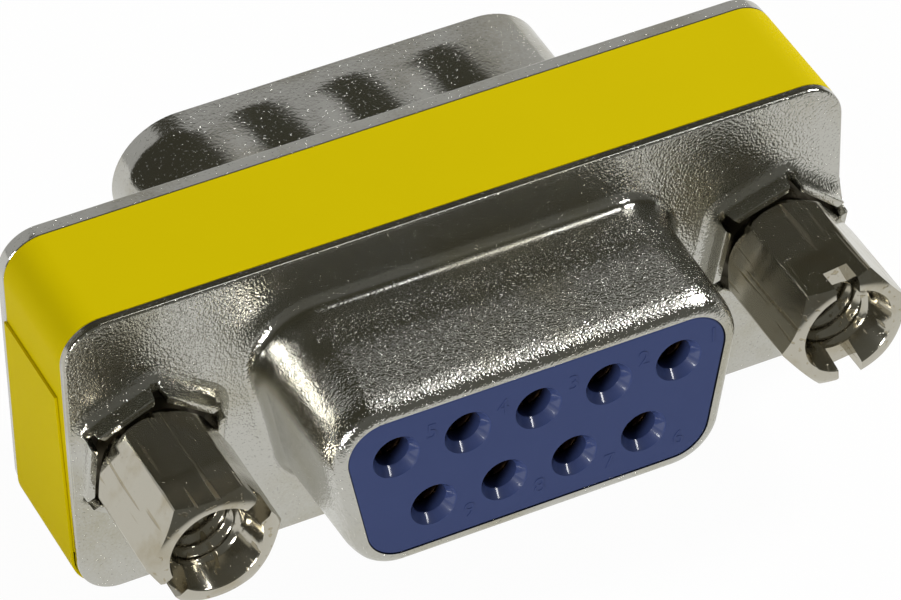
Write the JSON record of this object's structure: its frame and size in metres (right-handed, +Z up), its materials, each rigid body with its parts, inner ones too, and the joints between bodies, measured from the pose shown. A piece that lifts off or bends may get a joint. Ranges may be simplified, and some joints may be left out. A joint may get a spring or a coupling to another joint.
{
  "type": "d-sub gender changer",
  "caption": "Slim D-sub gender changer: a socket hood in front and a pin shell behind share a shallow wrapped body, with slotted hex jackscrews at both ends.",
  "frame": {"origin": "middle of the socket insulator's mating face", "axes": "-Y out of the socket side, +Y out of the pin side, +X along the flange, +Z up with the row of five contacts uppermost"},
  "size_m": [0.0309, 0.0173, 0.0125],
  "materials": {
    "plated_shell": "bright plating with a fine grain",
    "nickel_post": "bright nickel",
    "spring_steel": "dark oiled",
    "turned_brass": "turned",
    "contact_gold": "gold flash",
    "blue_insulator": "satin moulded",
    "yellow_film": "satin film"
  },
  "bodies": {
    "housing": {"front_shell": "plated_shell", "rear_shell": "plated_shell", "front_insulator": "blue_insulator", "rear_insulator": "blue_insulator", "contact_1": "contact_gold", "contact_2": "contact_gold", "contact_3": "contact_gold", "contact_4": "contact_gold", "contact_5": "contact_gold", "contact_6": "contact_gold", "contact_7": "contact_gold", "contact_8": "contact_gold", "contact_9": "contact_gold", "wrap_label": "yellow_film", "left_spacer": "turned_brass", "right_spacer": "turned_brass"},
    "left_jackscrew": {"left_jackscrew": "nickel_post", "left_retaining_ring": "spring_steel"},
    "right_jackscrew": {"right_jackscrew": "nickel_post", "right_retaining_ring": "spring_steel"}
  },
  "joints": [
    {"name": "left_jackscrew_turn", "type": "hinge", "parent": "housing", "child": "left_jackscrew", "pos_m": [-0.01246, 0, 0], "axis": [0, 1, 0], "continuous": true},
    {"name": "right_jackscrew_turn", "type": "hinge", "parent": "housing", "child": "right_jackscrew", "pos_m": [0.01246, 0, 0], "axis": [0, 1, 0], "continuous": true}
  ]
}
